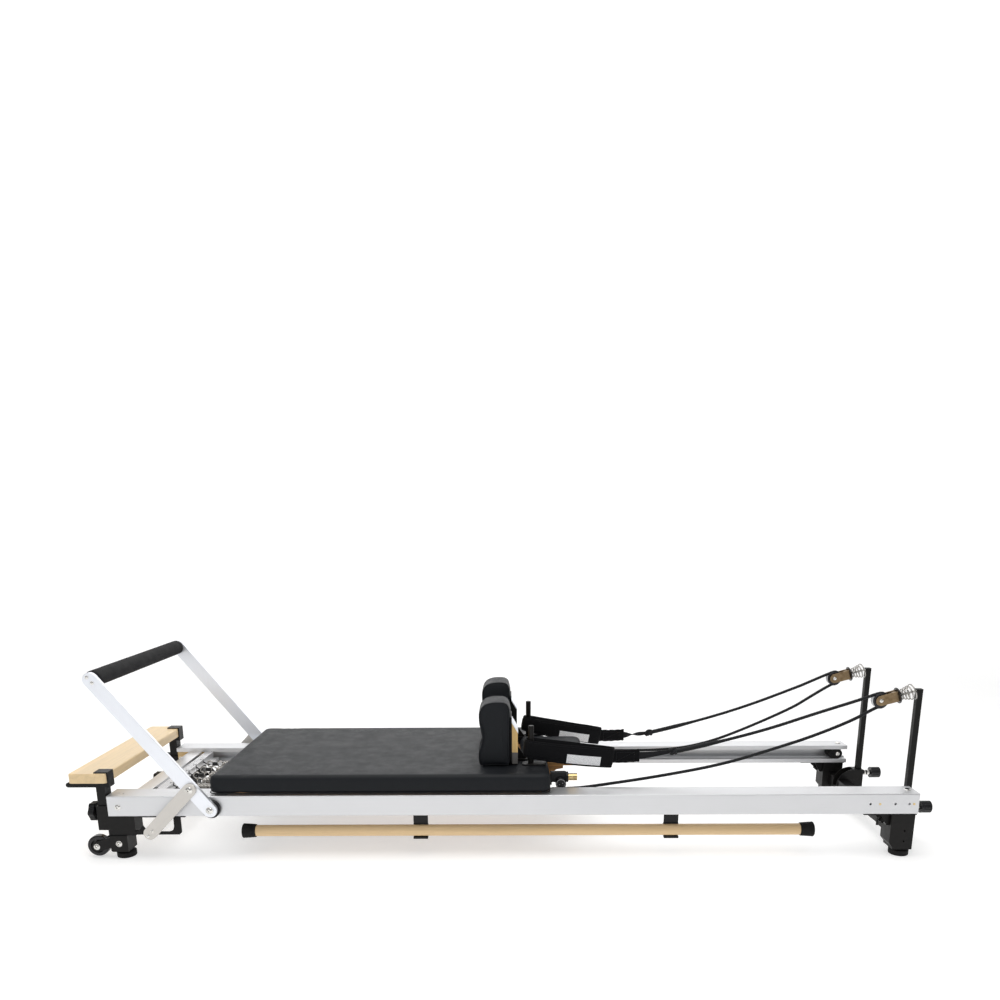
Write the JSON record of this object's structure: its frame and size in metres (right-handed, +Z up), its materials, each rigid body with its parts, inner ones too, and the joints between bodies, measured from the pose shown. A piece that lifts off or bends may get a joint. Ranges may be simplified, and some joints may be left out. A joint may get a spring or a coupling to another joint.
{
  "type": "pilates reformer",
  "caption": "Low pilates reformer: sprung sliding padded carriage on aluminium rails, with folding footbar, standing platform, shoulder rests, hand straps on rope pulleys and a pole.",
  "frame": {"origin": "centre of the footprint on the floor, below the middle of the overall length and width", "axes": "+X along the rails from the footbar to the risers, +Y across, +Z up"},
  "size_m": [2.512, 0.6482, 0.5535],
  "materials": {
    "anodised_aluminium": "satin",
    "black_steel": "satin powder coat",
    "chrome": "polished",
    "brass": "satin",
    "black_rubber": "matte",
    "black_plastic": "fine texture",
    "black_nylon": "gloss",
    "cream_plastic": "matte",
    "light_maple": "clear lacquer",
    "plywood": "clear lacquer",
    "black_vinyl": "soft sheen",
    "foam_grip": "matte foam",
    "black_webbing": "woven",
    "black_rope": "braided"
  },
  "bodies": {
    "frame": {"side_rails": "anodised_aluminium", "foot_crossbar": "anodised_aluminium", "spring_bar": "anodised_aluminium", "spring_bar_ties": "black_steel", "head_legs": "black_steel", "head_plates": "black_steel", "foot_leg_blocks": "black_steel", "feet": "black_rubber", "rack_plates": "black_steel", "rail_end_blocks": "cream_plastic", "rail_bumpers": "black_rubber", "frame_bolts": "chrome", "rail_set_screws": "brass", "pole_clips": "black_plastic", "riser_brackets": "black_steel", "pivot_discs": "black_plastic", "pivot_bolts": "chrome", "springs": "chrome", "ropes": "black_rope"},
    "footbar": {"footbar_frame": "anodised_aluminium", "footbar_grip": "foam_grip", "footbar_bolts": "chrome"},
    "strut": {"strut_frame": "anodised_aluminium", "strut_screws": "chrome"},
    "platform": {"platform_board": "light_maple", "platform_brackets": "black_steel"},
    "star_knob_near": {"star_knob_near": "black_plastic"},
    "star_knob_far": {"star_knob_far": "black_plastic"},
    "star_knob_crossbar": {"star_knob_crossbar": "black_plastic"},
    "transport_wheel_near": {"transport_wheel_near": "black_nylon"},
    "transport_wheel_far": {"transport_wheel_far": "black_nylon"},
    "carriage": {"carriage_pad": "black_vinyl", "carriage_base": "plywood", "carriage_frame": "black_steel", "rope_guides": "black_plastic", "rope_guide_sleeves": "brass", "strap_posts": "black_steel", "straps": "black_webbing"},
    "carriage_wheels_foot": {"carriage_wheels_foot": "black_nylon"},
    "carriage_wheels_head": {"carriage_wheels_head": "black_nylon"},
    "guide_rollers": {"guide_rollers": "black_nylon"},
    "shoulder_rest_near": {"shoulder_pad_near": "black_vinyl", "shoulder_board_near": "plywood", "shoulder_bracket_near": "black_steel"},
    "shoulder_rest_far": {"shoulder_pad_far": "black_vinyl", "shoulder_board_far": "plywood", "shoulder_bracket_far": "black_steel"},
    "headrest": {"headrest_pad": "black_vinyl", "headrest_board": "plywood"},
    "risers": {"riser_near": "black_steel", "riser_far": "black_steel", "pulley_block_near": "chrome", "pulley_block_far": "chrome", "rope_turns": "black_rope"},
    "pulley_wheel_near": {"pulley_wheel_near": "black_nylon"},
    "pulley_wheel_far": {"pulley_wheel_far": "black_nylon"},
    "pull_knob_near": {"pull_knob_near": "black_plastic"},
    "pull_knob_far": {"pull_knob_far": "black_plastic"},
    "pole": {"pole": "light_maple", "pole_caps": "black_rubber"}
  },
  "joints": [
    {"name": "carriage_slide", "type": "slide", "parent": "frame", "child": "carriage", "axis": [1, 0, 0], "range_m": [0, 0.4], "stiffness_N_per_m": 180, "springref_m": -0.05, "deforming": ["springs", "ropes"]},
    {"name": "footbar_swing", "type": "hinge", "parent": "frame", "child": "footbar", "pos_m": [-0.837, 0, 0.154], "axis": [0, 1, 0], "range_deg": [0, 18]},
    {"name": "strut_swing", "type": "hinge", "parent": "footbar", "child": "strut", "pos_m": [-0.88617, 0, 0.2171], "axis": [0, 1, 0], "range_deg": [-24.48, 0]},
    {"name": "platform_lift", "type": "slide", "parent": "frame", "child": "platform", "axis": [0, 0, 1], "range_m": [0, 0.12]},
    {"name": "star_knob_near_turn", "type": "hinge", "parent": "frame", "child": "star_knob_near", "pos_m": [-1.187, -0.258, 0.137], "axis": [1, 0, 0], "continuous": true},
    {"name": "star_knob_far_turn", "type": "hinge", "parent": "frame", "child": "star_knob_far", "pos_m": [-1.187, 0.258, 0.137], "axis": [1, 0, 0], "continuous": true},
    {"name": "star_knob_crossbar_turn", "type": "hinge", "parent": "frame", "child": "star_knob_crossbar", "pos_m": [-1.107, 0, 0.146], "axis": [1, 0, 0], "continuous": true},
    {"name": "transport_wheel_near_spin", "type": "hinge", "parent": "frame", "child": "transport_wheel_near", "pos_m": [-1.184, -0.266, 0.035], "axis": [0, 1, 0], "continuous": true},
    {"name": "transport_wheel_far_spin", "type": "hinge", "parent": "frame", "child": "transport_wheel_far", "pos_m": [-1.184, 0.266, 0.035], "axis": [0, 1, 0], "continuous": true},
    {"name": "carriage_wheels_foot_roll", "type": "hinge", "parent": "carriage", "child": "carriage_wheels_foot", "pos_m": [-0.777, 0, 0.1593], "axis": [0, 1, 0], "continuous": true},
    {"name": "carriage_wheels_head_roll", "type": "hinge", "parent": "carriage", "child": "carriage_wheels_head", "pos_m": [0.073, 0, 0.1593], "axis": [0, 1, 0], "continuous": true},
    {"name": "guide_rollers_spin", "type": "hinge", "parent": "carriage", "child": "guide_rollers", "pos_m": [0.159, 0, 0.199], "axis": [0, 1, 0], "continuous": true},
    {"name": "shoulder_rest_near_lift", "type": "slide", "parent": "carriage", "child": "shoulder_rest_near", "axis": [0, 0, 1], "range_m": [0, 0.1]},
    {"name": "shoulder_rest_far_lift", "type": "slide", "parent": "carriage", "child": "shoulder_rest_far", "axis": [0, 0, 1], "range_m": [0, 0.1]},
    {"name": "headrest_tilt", "type": "hinge", "parent": "carriage", "child": "headrest", "pos_m": [0.037, 0, 0.234], "axis": [0, -1, 0], "range_deg": [0, 28]},
    {"name": "riser_height", "type": "slide", "parent": "frame", "child": "risers", "axis": [0, 0, 1], "range_m": [-0.055, 0.02], "deforming": ["rope_turns"]},
    {"name": "pulley_wheel_near_spin", "type": "hinge", "parent": "risers", "child": "pulley_wheel_near", "pos_m": [1.075, -0.172, 0.434], "axis": [0, 1, 0], "continuous": true},
    {"name": "pulley_wheel_far_spin", "type": "hinge", "parent": "risers", "child": "pulley_wheel_far", "pos_m": [1.075, 0.172, 0.434], "axis": [0, 1, 0], "continuous": true},
    {"name": "pull_knob_near_pull", "type": "slide", "parent": "frame", "child": "pull_knob_near", "axis": [1, 0, 0], "range_m": [0, 0.008], "stiffness_N_per_m": 1500, "springref_m": -0.002},
    {"name": "pull_knob_far_pull", "type": "slide", "parent": "frame", "child": "pull_knob_far", "axis": [1, 0, 0], "range_m": [0, 0.008], "stiffness_N_per_m": 1500, "springref_m": -0.002},
    {"name": "pole_unclip", "type": "slide", "parent": "frame", "child": "pole", "axis": [0, -1, 0], "range_m": [0, 0.1]}
  ],
  "couplings": [
    {"joint": "strut_swing", "follows": "footbar_swing", "ratio": -1.332}
  ]
}
